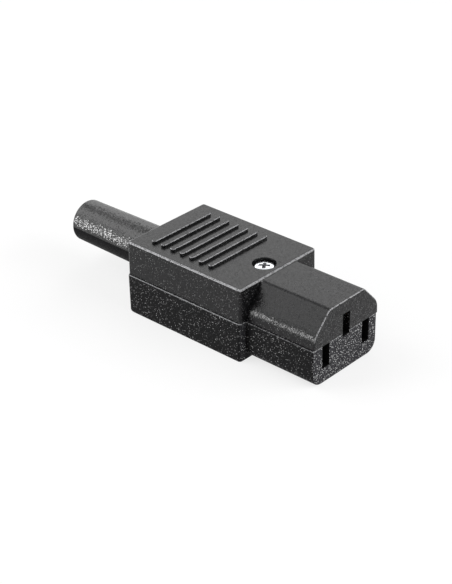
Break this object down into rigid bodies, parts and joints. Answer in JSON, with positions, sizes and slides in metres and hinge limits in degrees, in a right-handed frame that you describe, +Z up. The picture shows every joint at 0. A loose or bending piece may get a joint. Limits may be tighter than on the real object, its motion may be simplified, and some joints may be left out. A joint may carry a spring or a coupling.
{
  "type": "c13 power connector",
  "caption": "Rewireable straight connector: two black moulded shells with grip ribs, a chamfered nose with flat pin slots, sprung contacts inside and a soft cord guard.",
  "frame": {"origin": "under the middle of the whole connector, on the surface that its lower shell rests on", "axes": "+X along the connector towards the mating face, +Z up, -Y the side that faces the viewer in the picture"},
  "size_m": [0.083, 0.0266, 0.0192],
  "materials": {
    "lower_housing": "black nylon, coarse spark-eroded grain",
    "upper_housing": "black nylon, fine matt grain",
    "guard": "black soft PVC, fine grain",
    "clamp": "black nylon, plain",
    "zinc_steel": "bright zinc plate",
    "insert_brass": "turned",
    "contact_brass": "rolled strip, bright"
  },
  "bodies": {
    "root": {"lower_shell": "lower_housing", "upper_shell": "upper_housing", "cord_guard": "guard", "cord_clamp": "clamp", "cover_screw": "zinc_steel", "cover_insert": "insert_brass", "near_clamp_screw": "zinc_steel", "far_clamp_screw": "zinc_steel", "neutral_contact": "contact_brass", "neutral_washer": "zinc_steel", "neutral_screw": "zinc_steel", "line_contact": "contact_brass", "line_washer": "zinc_steel", "line_screw": "zinc_steel", "earth_contact": "contact_brass", "earth_washer": "zinc_steel", "earth_screw": "zinc_steel"}
  },
  "joints": []
}
